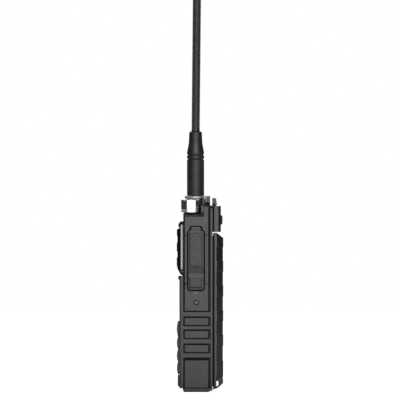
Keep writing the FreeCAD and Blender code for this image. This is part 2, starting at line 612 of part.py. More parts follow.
def antenna_boot():
    """Rubber boot with two grip grooves and a tapered neck."""
    low, high = BOOT_Z
    wide, groove = BOOT_R, BOOT_R - 0.6
    outer = [(wide, low, 0.3), (wide, 171.4, 0.15), (groove, 171.5, 0.1), (groove, 172.2, 0.1),
             (wide, 172.3, 0.15), (wide, 174.5, 0.15), (groove, 174.6, 0.1), (groove, 175.3, 0.1),
             (wide, 175.4, 0.15), (wide - 0.05, 176.8, 1.0), (5.05, 183.8, 4.0), (4.65, high, 1.2)]
    bore = [(3.25, high, 0), (3.25, 185.8, 0), (1.3, 185.8, 0), (1.3, 158.0, 0), (2.3, 158.0, 0),
            (2.3, 152.0, 0), (4.4, 152.0, 0), (4.4, low, 0)]
    return turned(outer + bore, ANT_X, ANT_Y)


def leaning(shape):
    """Tilt a whip piece towards the battery about the whip's foot."""
    shape.rotate(Vector(ANT_X, ANT_Y, WHIP_FOOT_Z), Vector(1, 0, 0), -WHIP_TILT_DEG)
    return shape


def whip_length():
    """Distance from the whip's foot to its tip, along the whip."""
    return (TIP_Z - WHIP_FOOT_Z) / math.cos(math.radians(WHIP_TILT_DEG))


def antenna_whip():
    """Flexible whip, an even rod that tapers in its upper part."""
    foot = WHIP_FOOT_Z
    top = foot + whip_length() - 6.0
    profile = [(0.75, foot, 0), (3.1, foot, 0), (WHIP_R, foot + 6, 0), (WHIP_R - 0.05, foot + 150, 0),
               (2.2, top, 0), (0.75, top, 0)]
    return leaning(turned(profile, ANT_X, ANT_Y))


def antenna_core():
    """Sprung wire that runs inside the whip."""
    foot = WHIP_FOOT_Z
    return leaning(rod(0.7, (ANT_X, ANT_Y, foot - 27.5), (ANT_X, ANT_Y, foot + whip_length() - 3.5)))


def antenna_tip():
    """Moulded cap on the whip's end."""
    top = WHIP_FOOT_Z + whip_length()
    profile = [(2.2, top - 6.0, 0), (2.7, top - 8.5, 0), (2.7, top, 2.4), (0, top, 0), (0, top - 3.5, 0),
               (0.75, top - 3.5, 0), (0.75, top - 6.0, 0)]
    cap = turned(profile, ANT_X, ANT_Y)
    skirt = turned([(0, top - 12, 0), (2.235, top - 12, 0), (2.2, top - 6.0, 0), (0, top - 6.0, 0)], ANT_X, ANT_Y)
    return leaning(cap.cut(skirt))


# ---- top rear -------------------------------------------------------------------

def clip_block():
    """Block on the back that takes the belt clip's two screws."""
    plan = mirrored([(25.8, REAR_Y, 0), (27.0, 10.5, 0.3), (27.0, 13.6, 0.5), (24.6, 15.4, 0.6)])
    block = slab_z(plan, (118.0, BLOCK_TOP_Z))
    side = slab_x([(REAR_Y, 118.0, 0), (15.4, 118.0, 0.4), (15.4, BLOCK_TOP_Z, 0.5), (REAR_Y, BLOCK_TOP_Z, 0)],
                  (-30, 30))
    bosses, holes = [], []
    for x in (-CLIP_HOLE_X, CLIP_HOLE_X):
        boss = turned_y([(0, 14.5, 0), (3.45, 14.5, 0), (3.45, 16.0, 0), (2.8, 16.65, 0), (0, 16.65, 0)],
                        x, CLIP_HOLE_Z)
        bosses.append(boss)
        holes.append(rod(CLIP_HOLE_R, (x, 10.65, CLIP_HOLE_Z), (x, 18, CLIP_HOLE_Z)))
    hollow = box((-9.0, 9.0), (REAR_Y - 1, 13.2), (120.0, 133.0))
    screws = [rod(2.3, (x, 8, z), (x, REAR_Y + 0.3, z)) for x, z in BOSSES[4:]]
    return less(join([block.common(side)] + bosses), holes + [hollow] + screws)


def torch_housing():
    """Small lamp head on a neck above the rear edge."""
    head = slab_x([(8.95, 143.0, 0.3), (11.8, 143.0, 0.3), (12.7, 137.5, 0.3), (9.1, 139.3, 0.3)], (-6.5, 6.5))
    neck = slab_x([(REAR_Y + 0.1, BLOCK_TOP_Z, 0), (11.9, BLOCK_TOP_Z, 0), (11.9, 139.6, 0), (8.95, 139.6, 0),
                   (8.95, TOP_Z + 0.1, 0), (REAR_Y + 0.1, TOP_Z + 0.1, 0)], (-3.5, 3.5))
    seat = slab_z(rect((-4.95, 4.95), (9.35, 11.35), 0.9), (141.7, 144))
    return join([head, neck]).cut(seat)


def torch_lens():
    """Clear lens of the lamp."""
    return slab_z(rect((-4.85, 4.85), (9.45, 11.25), 0.85), (141.7, 142.9))


# ---- buttons on the far side ----------------------------------------------------

def ptt_bezel():
    """Raised surround of the talk button and the two side keys."""
    plate = slab_x(rect((-9.4, 4.0), (75.2, 125.6), 3.5), (-28.7, -PANEL_X))
    holes = []
    for low, high in (TALK_Z, *SIDE_KEYS_Z.values()):
        hole = rect((TALK_Y[0] - TALK_GAP, TALK_Y[1] + TALK_GAP), (low - TALK_GAP, high + TALK_GAP), 2.0)
        holes.append(slab_x(hole, (-31, -20)))
    return less(plate, holes)


def far_button(z, proud_x, inner_x):
    """Button on the -X side with a domed face and a shallow finger groove."""
    body = slab_x(rect(TALK_Y, z, 1.8), (-proud_x, -inner_x))
    middle = (z[0] + z[1]) / 2
    dome_r = 60.0
    dome = Part.makeSphere(dome_r, Vector(dome_r - proud_x, (TALK_Y[0] + TALK_Y[1]) / 2, middle))
    return body.common(dome)


def talk_button():
    """Large talk button with three grip lines."""
    button = far_button(TALK_Z, SIDE_MAX_X, 25.4)
    middle = (TALK_Z[0] + TALK_Z[1]) / 2
    lines = [box((-32, -29.1), (TALK_Y[0] + 1.8, TALK_Y[1] - 1.8), (middle + dz - 0.35, middle + dz + 0.35))
             for dz in (-3.0, 0.0, 3.0)]
    return less(button, lines)


# ---- jack cover -----------------------------------------------------------------

def jack_cover_flap():
    """Part of the rubber cover that swings out, with its pull tab."""
    body = slab_x([(COVER_Y[0], HINGE_Z + 0.7, 0), (COVER_Y[1], HINGE_Z + 0.7, 0), (COVER_Y[1], COVER_Z[1], 2.2),
                   (COVER_Y[0], COVER_Z[1], 2.2)], (COVER_BACK_X, COVER_FACE_X))
    thin = box((29.0, 31), (-12, 6), (HINGE_Z, 91.8))
    raised = slab_x(rect((-7.3, 1.2), (92.9, 117.2), 1.0), (COVER_FACE_X - 0.2, SIDE_MAX_X))
    tab = slab_x([(JACK_Y - 4.2, 118.2, 0), (JACK_Y + 4.2, 118.2, 0), (JACK_Y + 3.5, 121.9, 1.2),
                  (JACK_Y - 3.5, 121.9, 1.2)], (COVER_BACK_X, 28.9))
    return join([body.cut(thin), raised, tab])


def jack_cover_anchor():
    """Lower end of the rubber cover, held in the housing."""
    body = slab_x([(COVER_Y[0], COVER_Z[0], 2.2), (COVER_Y[1], COVER_Z[0], 2.2), (COVER_Y[1], HINGE_Z - 0.7, 0),
                   (COVER_Y[0], HINGE_Z - 0.7, 0)], (POCKET_X, COVER_FACE_X))
    thin = box((29.0, 31), (-12, 6), (85.6, HINGE_Z))
    raised = slab_x(rect((-6.6, 0.7), (76.9, 84.3), 0.8), (COVER_FACE_X - 0.2, SIDE_MAX_X))
    return join([body.cut(thin), raised])


# ---- battery --------------------------------------------------------------------

def battery_plan(back):
    """Plan outline of the pack, with its back at the given Y."""
    lean = back - BATTERY_BACK_Y
    return mirrored([(26.5, BATTERY_FRONT_Y, 0), (BATTERY_X, 10.6, 0), (BATTERY_X, 12.2 + lean, 0.4),
                     (22.6, back, 1.5)])


def battery_outside():
    """Outside of the whole pack, with grip blocks on its back."""
    shape = slab_z(battery_plan(BATTERY_BACK_Y), (BATTERY_FOOT_Z, 118.0))
    blocks = [shape]
    for low, high in grip_blocks():
        blocks.append(slab_z(battery_plan(CREST_Y), (low, high)))
    side_view = [(BATTERY_FRONT_Y, BATTERY_FOOT_Z, 0), (12.1, BATTERY_FOOT_Z, 0.3), (12.1, 10.9, 0),
                 (17.6, 10.9, 0), (17.6, 113.1, 0), (12.7, 117.1, 0.5), (10.8, 117.3, 0),
                 (BATTERY_FRONT_Y, 117.0, 0.99)]
    return join(blocks).common(slab_x(side_view, (-30, 30)))


def grip_blocks():
    """Heights of the raised blocks on the pack's back."""
    blocks = [(10.9, 22.5)]
    for step in range(5):
        low = 34.0 + GRIP_PITCH * step
        blocks.append((low, low + 7.8))
    return blocks


def latch_lugs():
    """Two lugs under the pack that carry the latch pin."""
    lug = slab_x([(11.8, 7.9, 0), (16.2, 7.9, 0.8), (16.6, 11.2, 0), (11.8, 11.2, 0)], (13.5, 16.6))
    return both_sides(lug)


def battery_case():
    """Back shell of the pack, with the lugs for the latch."""
    shell = battery_outside().common(box((-30, 30), (BATTERY_SPLIT_Y, 20), (0, 120)))
    cavity = box((-21.0, 21.0), (BATTERY_SPLIT_Y - 1, 15.5), (14.0, 108.0))
    pin = rod(PIN_R, (-16.2, LATCH_Y, LATCH_Z), (16.2, LATCH_Y, LATCH_Z))
    return less(join([shell] + latch_lugs()), [cavity, pin])


def battery_lid():
    """Front plate of the pack with its two top hooks."""
    plate = battery_outside().common(box((-30, 30), (0, BATTERY_SPLIT_Y), (0, 120)))
    hooks = both_sides(slab_x([(7.9, 113.0, 0.4), (9.8, 113.0, 0), (9.8, 115.0, 0), (7.9, 115.0, 0.4)],
                              (12.0, 17.0)))
    pads = [box((x - 1.6, x + 1.6), (8, 10.2), (22.4, 27.6)) for x in (-6.0, 0.0, 6.0)]
    return less(join([plate] + hooks), pads)


def battery_cells():
    """Two flat cells side by side."""
    return [slab_z(rect(x, (11.0, 15.3), 1.2), (15.0, 106.0)) for x in ((-20.6, -0.4), (0.4, 20.6))]


def battery_terminals():
    """Flush contact pads in the pack's front plate."""
    return [box((x - 1.5, x + 1.5), (BATTERY_FRONT_Y + 0.1, 10.2), (22.5, 27.5)) for x in (-6.0, 0.0, 6.0)]


def battery_latch():
    """Lever at the foot of the pack: finger paddle and a toe under the pack."""
    barrel = rod(1.6, (-LATCH_X, LATCH_Y, LATCH_Z), (LATCH_X, LATCH_Y, LATCH_Z))
    paddle = slab_x([(13.5, LATCH_Z, 0), (13.6, 4.4, 0.3), (12.0, 3.2, 0), (9.6, 2.6, 0.2), (9.6, 1.7, 0.2),
                     (11.7, 2.1, 0), (13.6, 3.1, 0.5), (17.1, 6.3, 0.8), (17.1, 9.0, 0.3), (16.9, 9.9, 0.3),
                     (15.9, 10.2, 0), (LATCH_Y, LATCH_Z, 0)], (-LATCH_X, LATCH_X))
    bore = rod(PIN_R + 0.06, (-20, LATCH_Y, LATCH_Z), (20, LATCH_Y, LATCH_Z))
    spring_room = box((-2.6, 2.6), (13, 18), (7.0, 12))
    grips = [box((-9, 9), (16.8, 18), (z, z + 0.5)) for z in (6.4, 7.4)]
    return less(join([barrel, paddle]), [bore, spring_room] + grips)


def latch_pin():
    """Steel pin of the latch."""
    return rod(PIN_R, (-16.2, LATCH_Y, LATCH_Z), (16.2, LATCH_Y, LATCH_Z))


def latch_spring():
    """Coils of the latch spring round the pin, with one leg up to the pack."""
    coils = []
    for i in range(9):
        centre = Vector(-1.6 + 0.4 * i, LATCH_Y, LATCH_Z)
        coils.append(Part.makeTorus(1.15, 0.26, centre, Vector(1, 0, 0)))
    leg = rod(0.22, (-1.6, LATCH_Y - 1.15, LATCH_Z), (-1.6, LATCH_Y - 1.15, 10.85))
    return join(coils + [leg])


# ---- write everything -----------------------------------------------------------

def parts():
    """Every sub-part by name."""
    made = {
        "front_case": front_case(), "rear_chassis": rear_chassis(), "case_gasket": case_gasket(),
        "chassis_screws": chassis_screws(), "side_screws": side_screws(),
        "speaker_bezel": speaker_bezel(), "speaker_grille": speaker_grille(),
        "speaker_driver": speaker_driver(), "display_window": display_window(),
        "lcd_module": lcd_module(), "keypad_mat": keypad_mat(), "main_board": main_board(),
        "shield_cans": shield_cans(), "microphone": microphone(), "jack_block": jack_block(),
        "usb_port": usb_port(), "battery_contacts": battery_contacts(), "status_led": status_led(),
        "volume_pot": volume_pot(), "knob_shaft": d_shaft(1.98, 121.2, 140.1),
        "volume_knob": volume_knob(), "knob_cap": knob_cap(), "antenna_collar": antenna_collar(),
        "antenna_connector": antenna_connector(), "antenna_plug": antenna_plug(),
        "antenna_boot": antenna_boot(), "antenna_whip": antenna_whip(), "antenna_core": antenna_core(),
        "antenna_tip": antenna_tip(), "clip_block": clip_block(), "torch_housing": torch_housing(),
        "torch_lens": torch_lens(), "ptt_bezel": ptt_bezel(), "ptt_button": talk_button(),
        "jack_cover_flap": jack_cover_flap(), "jack_cover_anchor": jack_cover_anchor(),
        "battery_case": battery_case(), "battery_lid": battery_lid(), "battery_cells": battery_cells(),
        "battery_terminals": battery_terminals(), "battery_latch": battery_latch(),
        "latch_pin": latch_pin(), "latch_spring": latch_spring(),
    }
    for name, z in SIDE_KEYS_Z.items():
        made[name] = far_button(z, 29.6, 25.8)
    for number, (x, z) in enumerate(key_places(), start=1):
        made["key_%d" % number] = key_cap(x, z)
    return made


def main():
    os.makedirs("parts", exist_ok=True)
    for name, shape in parts().items():
        save(name, shape)


main()
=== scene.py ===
"""Looks of the handheld transceiver: materials, added pieces, camera and light."""
import math

import bmesh
import bpy
from mathutils import Matrix, Vector


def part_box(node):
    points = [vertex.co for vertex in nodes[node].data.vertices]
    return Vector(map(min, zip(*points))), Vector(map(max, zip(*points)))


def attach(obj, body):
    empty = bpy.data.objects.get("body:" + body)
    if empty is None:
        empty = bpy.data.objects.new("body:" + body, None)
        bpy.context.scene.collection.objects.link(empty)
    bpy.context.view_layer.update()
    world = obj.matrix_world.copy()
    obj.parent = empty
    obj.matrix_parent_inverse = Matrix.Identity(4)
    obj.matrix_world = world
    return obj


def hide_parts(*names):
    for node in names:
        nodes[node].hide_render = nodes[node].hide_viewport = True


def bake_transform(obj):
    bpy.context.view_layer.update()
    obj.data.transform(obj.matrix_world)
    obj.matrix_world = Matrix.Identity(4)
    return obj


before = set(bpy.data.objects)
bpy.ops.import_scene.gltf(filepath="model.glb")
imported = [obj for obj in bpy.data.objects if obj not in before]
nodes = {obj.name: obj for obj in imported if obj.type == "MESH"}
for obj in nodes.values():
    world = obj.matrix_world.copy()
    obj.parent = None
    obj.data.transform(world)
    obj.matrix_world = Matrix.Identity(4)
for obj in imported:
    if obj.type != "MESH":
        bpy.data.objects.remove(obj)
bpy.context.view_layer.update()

MM = 0.001


# ---- camera, light and floor ----------------------------------------------------

CAMERA_DISTANCE = 8.0
VIEW_WIDTH = 0.296          # how much of the object's plane the frame spans
VIEW_HEIGHT = 0.1416        # height of the picture's middle
VIEW_ASIDE = -0.00001       # sideways place of the picture's middle
SENSOR_MM = 36.0
CLIP_END = 100.0


def make_camera():
    """Long lens, level, looking along -X at the jack side."""
    data = bpy.data.cameras.new("camera")
    data.sensor_width = SENSOR_MM
    data.lens = SENSOR_MM * CAMERA_DISTANCE / VIEW_WIDTH
    data.clip_end = CLIP_END
    camera = bpy.data.objects.new("camera", data)
    camera.location = (CAMERA_DISTANCE, VIEW_ASIDE, VIEW_HEIGHT)
    camera.rotation_euler = (math.radians(90), 0, math.radians(90))
    bpy.context.scene.collection.objects.link(camera)
    bpy.context.scene.camera = camera


def make_area_light(name, place, target, size, radiance):
    """Rectangular soft light that the camera doesn't see; radiance in W/m2/sr."""
    data = bpy.data.lights.new(name, "AREA")
    data.shape = "RECTANGLE"
    data.size, data.size_y = size
    data.energy = radiance * math.pi * size[0] * size[1]
    light = bpy.data.objects.new(name, data)
    light.location = place
    way = Vector(target) - Vector(place)
    light.rotation_euler = way.to_track_quat("-Z", "Y").to_euler()
    light.visible_camera = False
    bpy.context.scene.collection.objects.link(light)


WORLD_GREY = 0.022


def grey(level):
    """Opaque grey of the given level."""
    return (level, level, level, 1)


def make_world():
    """White to the camera, dim grey to everything else."""
    world = bpy.data.worlds.new("studio")
    bpy.context.scene.world = world
    world.use_nodes = True
    tree = world.node_tree
    tree.nodes.clear()
    path = tree.nodes.new("ShaderNodeLightPath")
    seen = tree.nodes.new("ShaderNodeBackground")
    seen.inputs["Color"].default_value = grey(1)
    dim = tree.nodes.new("ShaderNodeBackground")
    dim.inputs["Color"].default_value = grey(WORLD_GREY)
    mix = tree.nodes.new("ShaderNodeMixShader")
    output = tree.nodes.new("ShaderNodeOutputWorld")
    tree.links.new(path.outputs["Is Camera Ray"], mix.inputs["Fac"])
    tree.links.new(dim.outputs["Background"], mix.inputs[1])
    tree.links.new(seen.outputs["Background"], mix.inputs[2])
    tree.links.new(mix.outputs["Shader"], output.inputs["Surface"])


FLOOR_HALF = 6.0
FLOOR_DROP = 0.0001         # how far the floor lies under the object's foot
FLOOR_GREY = 0.3            # what the floor gives back of the light on it
FLOOR_NEAR = (0.3, 0.9)     # distances over which the floor's glow to the camera changes
FLOOR_GLOW = (0.86, 1.05)   # that glow, near and far; dimmer near the object, as painted shade around its foot
FLOOR_RING = (0.1, 0.3)     # distances over which the floor's painted bounce light, a glow seen only in reflections and lighting, comes in; none nearer, as painted shade under the object
FLOOR_BOUNCE_GLOW = 0.95         # its strength
FLOOR_FAR = (0.7, 1.3)      # distances over which it fades again
FLOOR_REST = 0.04           # share of it that is left beyond that
FLOOR_TURN = (0.1, -0.15)   # X over which it changes from the jack side to the far side
FLOOR_SIDES = (1.0, 1.9)    # its strength on the jack side and on the far side


def spread(tree, source, span, results):
    """Node output that maps a source from a span to the results."""
    made = tree.nodes.new("ShaderNodeMapRange")
    made.inputs["From Min"].default_value, made.inputs["From Max"].default_value = span
    made.inputs["To Min"].default_value, made.inputs["To Max"].default_value = results
    tree.links.new(source, made.inputs["Value"])
    return made.outputs["Result"]


def product(tree, first, second):
    """Node output that multiplies two sources."""
    made = tree.nodes.new("ShaderNodeMath")
    made.operation = "MULTIPLY"
    tree.links.new(first, made.inputs[0])
    tree.links.new(second, made.inputs[1])
    return made.outputs["Value"]


def floor_material():
    """White glow to the camera, dimmer near the object as painted shade; to everything else a glow that
    paints bounce light, starting some way out so the ground near the object stays dark as painted
    shade.
    """
    mat = bpy.data.materials.new("floor_white")
    mat.use_nodes = True
    tree = mat.node_tree
    tree.nodes.clear()
    place = tree.nodes.new("ShaderNodeTexCoord").outputs["Object"]
    away = tree.nodes.new("ShaderNodeVectorMath")
    away.operation = "LENGTH"
    tree.links.new(place, away.inputs[0])
    distance = away.outputs["Value"]
    split = tree.nodes.new("ShaderNodeSeparateXYZ")
    tree.links.new(place, split.inputs["Vector"])

    # painted bounce light: floor glow for reflections and lighting, left out near the object as painted
    # shade and stronger on the far side
    glow_ring = product(tree, spread(tree, distance, FLOOR_RING, (0.0, FLOOR_BOUNCE_GLOW)),
                   spread(tree, distance, FLOOR_FAR, (1.0, FLOOR_REST)))
    strength = product(tree, glow_ring, spread(tree, split.outputs["X"], FLOOR_TURN, FLOOR_SIDES))
    bounce_glow = tree.nodes.new("ShaderNodeEmission")
    tree.links.new(strength, bounce_glow.inputs["Strength"])
    # glow to the camera, dimmer near the object as painted shade around its foot
    glow = tree.nodes.new("ShaderNodeEmission")
    tree.links.new(spread(tree, distance, FLOOR_NEAR, FLOOR_GLOW), glow.inputs["Strength"])

    path = tree.nodes.new("ShaderNodeLightPath")
    pick = tree.nodes.new("ShaderNodeMixShader")
    tree.links.new(path.outputs["Is Camera Ray"], pick.inputs["Fac"])
    tree.links.new(bounce_glow.outputs["Emission"], pick.inputs[1])
    tree.links.new(glow.outputs["Emission"], pick.inputs[2])
    diffuse = tree.nodes.new("ShaderNodeBsdfDiffuse")
    diffuse.inputs["Color"].default_value = grey(FLOOR_GREY)
    both = tree.nodes.new("ShaderNodeAddShader")
    tree.links.new(diffuse.outputs["BSDF"], both.inputs[0])
    tree.links.new(pick.outputs["Shader"], both.inputs[1])
    output = tree.nodes.new("ShaderNodeOutputMaterial")
    tree.links.new(both.outputs["Shader"], output.inputs["Surface"])
    return mat


def make_floor():
    """Plain white floor under the object."""
    mesh = bpy.data.meshes.new("floor")
    half = FLOOR_HALF
    corners = [(-half, -half, 0), (half, -half, 0), (half, half, 0), (-half, half, 0)]
    mesh.from_pydata(corners, [], [(0, 1, 2, 3)])
    mesh.materials.append(floor_material())
    floor = bpy.data.objects.new("floor", mesh)
    floor.location = (0, 0, -FLOOR_DROP)
    bpy.context.scene.collection.objects.link(floor)


LIGHTS = {
    # name: place, target, size, radiance
    "key": ((1.2, 0.28, 0.601), (0.0, 0.28, 0.601), (3.1, 1.2), 1.3),
    "core": ((1.15, 0.22, 0.601), (0.0, 0.22, 0.601), (1.0, 1.2), 1.9),
    "spot": ((1.1, 0.03, 0.68), (0.0, 0.0, 0.18), (0.3, 0.3), 7.0),
    "key_high": ((1.5, 0.1, 1.3), (0.0, 0.0, 0.2), (0.7, 0.4), 3.0),
    "top": ((0.1, 0.0, 1.7), (0.0, 0.0, 0.1), (1.4, 1.0), 0.45),
    "front": ((-0.3, -1.4, 1.3), (0.0, 0.0, 0.15), (2.0, 0.7), 1.8),
    "rear": ((-0.3, 1.4, 1.3), (0.0, 0.0, 0.15), (2.0, 0.7), 0.8),
    "far": ((-1.3, 0.0, 1.3), (0.0, 0.0, 0.15), (2.0, 0.7), 1.8),
}


def make_studio():
    """Camera, floor, world and the soft lights."""
    scene = bpy.context.scene
    scene.view_settings.view_transform = "Standard"
    scene.view_settings.look = "None"
    make_camera()
    make_world()
    make_floor()
    for name, (place, target, size, radiance) in LIGHTS.items():
        make_area_light(name, place, target, size, radiance)


# ---- material building ----------------------------------------------------------

EDGE_SAMPLES = 6
CREVICE_SAMPLES = 8
# near-black colour of the painted shade in gaps and inside corners
CREVICE_SHADE_COLOUR = (0.001, 0.001, 0.001)


class Shader:
    """A principled material with short helpers for its node graph."""

    def __init__(self, name, colour, roughness, **fixed):
        self.material = bpy.data.materials.new(name)
        self.material.use_nodes = True
        self.tree = self.material.node_tree
        self.bsdf = self.tree.nodes["Principled BSDF"]
        self.bsdf.inputs["Base Color"].default_value = (*colour, 1)
        self.bsdf.inputs["Roughness"].default_value = roughness
        for key, value in fixed.items():
            self.bsdf.inputs[key.replace("_", " ")].default_value = value
        self.coordinates = self.tree.nodes.new("ShaderNodeTexCoord")
        self.normal = None
        self.colour = None
        self.roughness = None

    def node(self, kind, **inputs):
        """New node with the given input values."""
        made = self.tree.nodes.new(kind)
        for key, value in inputs.items():
            made.inputs[key.replace("_", " ")].default_value = value
        return made

    def link(self, source, target):
        """Connects a node's output to a node's input."""
        self.tree.links.new(source, target)

    def noise(self, scale, detail=3.0, stretch=None):
        """Noise over object space, in features of about 1/scale metres."""
        made = self.node("ShaderNodeTexNoise", Scale=scale, Detail=detail)
        source = self.coordinates.outputs["Object"]
        if stretch is not None:
            mapping = self.node("ShaderNodeMapping")
            mapping.inputs["Scale"].default_value = stretch
            self.link(source, mapping.inputs["Vector"])
            source = mapping.outputs["Vector"]
        self.link(source, made.inputs["Vector"])
        return made.outputs["Fac"]

    def ramp(self, source, low, high, start=0.35, end=0.65):
        """Maps a source from start..end to low..high."""
        return spread(self.tree, source, (start, end), (low, high))

    def vary_roughness(self, source, low, high):
        """Roughness that follows a source."""
        self.roughness = self.ramp(source, low, high)
        self.link(self.roughness, self.bsdf.inputs["Roughness"])

    def mix_colours(self, factor, first, second):
        """Colour between two colours or sources, by a factor from 0 to 1."""
        mix = self.tree.nodes.new("ShaderNodeMix")
        mix.data_type = "RGBA"
        sockets = {socket.identifier: socket for socket in mix.inputs}
        for key, value in (("A_Color", first), ("B_Color", second)):
            if isinstance(value, tuple):
                sockets[key].default_value = (*value, 1)
            else:
                self.link(value, sockets[key])
        self.link(factor, sockets["Factor_Float"])
        results = {socket.identifier: socket for socket in mix.outputs}
        self.colour = results["Result_Color"]
        self.link(self.colour, self.bsdf.inputs["Base Color"])

    def vary_colour(self, source, first, second, start=0.35, end=0.65):
        """Base colour between two colours."""
        self.mix_colours(self.ramp(source, 0.0, 1.0, start, end), first, second)

    def round_edges(self, radius):
        """Edges that catch light as if rounded by the given radius."""
        bevel = self.node("ShaderNodeBevel", Radius=radius)
        bevel.samples = EDGE_SAMPLES
        self.normal = bevel.outputs["Normal"]
        self.link(self.normal, self.bsdf.inputs["Normal"])

    def bump(self, source, height, strength=1.0):
        """Relief of the given height in metres."""
        made = self.node("ShaderNodeBump", Strength=strength, Distance=height)
        self.link(source, made.inputs["Height"])
        if self.normal is not None:
            self.link(self.normal, made.inputs["Normal"])
        self.normal = made.outputs["Normal"]
        self.link(self.normal, self.bsdf.inputs["Normal"])

    def shade_and_dull_crevices(self, reach, duller=0.65, start=0.5, end=0.88):
        """Painted shade: base colour darkened to near black, and roughness raised, where other faces
        stand within reach, as in gaps and inside corners.
        """
        near = self.node("ShaderNodeAmbientOcclusion", Distance=reach)
        near.samples = CREVICE_SAMPLES
        shade_mask = self.ramp(near.outputs["AO"], 1.0, 0.0, start, end)
        # painted shade: base colour darkened where the faces around would hide the light
        self.mix_colours(shade_mask, self.colour, CREVICE_SHADE_COLOUR)
        added = self.node("ShaderNodeMath")
        added.operation = "MULTIPLY_ADD"
        added.inputs[1].default_value = duller
        self.link(shade_mask, added.inputs[0])
        self.link(self.roughness, added.inputs[2])
        self.link(added.outputs["Value"], self.bsdf.inputs["Roughness"])

    def step(self, axis, low, high):
        """1 inside low..high along an axis of object space, in metres, and 0 outside."""
        split = self.node("ShaderNodeSeparateXYZ")
        self.link(self.coordinates.outputs["Object"], split.inputs["Vector"])
        middle = self.node("ShaderNodeMath")
        middle.operation = "COMPARE"
        middle.inputs[1].default_value = (low + high) / 2
        middle.inputs[2].default_value = (high - low) / 2
        self.link(split.outputs[axis], middle.inputs[0])
        return middle.outputs["Value"]


def moulded(name, dark, light, roughness, grain=2600.0, height=0.02, edge=0.15):
    """Textured moulding: fine grain, slight patchiness, softened edges and painted shade in crevices
    (sizes in mm).
    """
    shader = Shader(name, dark, roughness)
    shader.round_edges(edge * MM)
    shader.bump(shader.noise(grain, 2.0), height * MM, 0.6)
    shader.vary_roughness(shader.noise(420.0, 4.0), roughness - 0.04, roughness + 0.05)
    shader.vary_colour(shader.noise(90.0, 5.0), dark, light)
    shader.shade_and_dull_crevices(1.3 * MM)
    return shader.material


def gloss_moulding(name, dark, light, roughness):
    """Polished moulding with faint flow marks."""
    shader = Shader(name, dark, roughness)
    shader.round_edges(0.12 * MM)
    shader.bump(shader.noise(160.0, 3.0), 0.01 * MM, 0.3)
    shader.vary_roughness(shader.noise(700.0, 3.0), roughness - 0.03, roughness + 0.05)
    shader.vary_colour(shader.noise(120.0, 2.0), dark, light)
    return shader.material


def plated(name, colour, roughness):
    """Bright plating with faint polishing marks."""
    shader = Shader(name, colour, roughness, Metallic=1.0)
    shader.round_edges(0.12 * MM)
    shader.bump(shader.noise(900.0, 2.0, (1.0, 1.0, 6.0)), 0.002 * MM, 0.2)
    shader.vary_roughness(shader.noise(500.0, 3.0), roughness - 0.03, roughness + 0.04)
    return shader.material


def painted_casting(name, dark, light, roughness):
    """Black paint over a grainy die casting, with painted shade in crevices."""
    shader = Shader(name, dark, roughness)
    shader.round_edges(0.2 * MM)
    shader.bump(shader.noise(1500.0, 4.0), 0.04 * MM, 0.6)
    shader.vary_roughness(shader.noise(300.0, 3.0), roughness - 0.08, roughness + 0.1)
    shader.vary_colour(shader.noise(150.0, 4.0), dark, light)
    shader.shade_and_dull_crevices(1.5 * MM)
    return shader.material


def rubber(name, dark, light, roughness, specular=0.4, reach=0.9):
    """Matte rubber with a soft bloom, and painted shade in crevices unless reach is 0."""
    shader = Shader(name, dark, roughness, Specular_IOR_Level=specular)
    shader.round_edges(0.15 * MM)
    shader.bump(shader.noise(3200.0, 2.0), 0.015 * MM, 0.5)
    shader.vary_roughness(shader.noise(260.0, 4.0), roughness - 0.05, roughness + 0.06)
    shader.vary_colour(shader.noise(140.0, 5.0), dark, light)
    if reach > 0:
        shader.shade_and_dull_crevices(reach * MM)
    return shader.material


def clear_plate(name, tint, roughness):
    """Tinted clear plate with a few fine scratches."""
    shader = Shader(name, tint, roughness, IOR=1.49, Transmission_Weight=0.9)
    shader.bump(shader.noise(600.0, 2.0, (1.0, 1.0, 8.0)), 0.002 * MM, 0.15)
    shader.vary_roughness(shader.noise(350.0, 4.0), roughness, roughness + 0.05)
    return shader.material


LCD_FRAME = 1.6 * MM        # width of the dark frame
LCD_FRAME_COLOUR = (0.006, 0.006, 0.007)


def lcd_panel(name):
    """Grey-green display with fine dot rows inside a dark frame."""
    shader = Shader(name, (0.2, 0.24, 0.19), 0.3)
    dots = shader.node("ShaderNodeTexChecker", Scale=1500.0)
    shader.link(shader.coordinates.outputs["Object"], dots.inputs["Vector"])
    shader.vary_colour(dots.outputs["Fac"], (0.20, 0.24, 0.18), (0.24, 0.28, 0.21), 0.0, 1.0)
    glass = shader.colour
    low, high = inner_span("lcd_module", LCD_FRAME)
    inside = product(shader.tree, shader.step("X", low.x, high.x), shader.step("Z", low.z, high.z))
    shader.mix_colours(inside, LCD_FRAME_COLOUR, glass)
    shader.bump(dots.outputs["Fac"], 0.002 * MM, 0.2)
    shader.vary_roughness(shader.noise(300.0, 3.0), 0.25, 0.35)
    return shader.material


def circuit_board(name):
    """Green solder mask with copper traces just under it."""
    shader = Shader(name, (0.01, 0.08, 0.03), 0.35)
    cells = shader.node("ShaderNodeTexVoronoi", Scale=420.0)
    shader.link(shader.coordinates.outputs["Object"], cells.inputs["Vector"])
    shader.vary_colour(cells.outputs["Distance"], (0.008, 0.06, 0.022), (0.02, 0.14, 0.05))
    shader.bump(cells.outputs["Distance"], 0.03 * MM, 0.4)
    shader.vary_roughness(shader.noise(500.0, 3.0), 0.3, 0.42)
    return shader.material


def inner_span(name, inset):
    """Lowest and highest corner of a CAD node's box, drawn in by the inset."""
    low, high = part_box(name)
    by = Vector((inset, inset, inset))
    return Vector(low) + by, Vector(high) - by


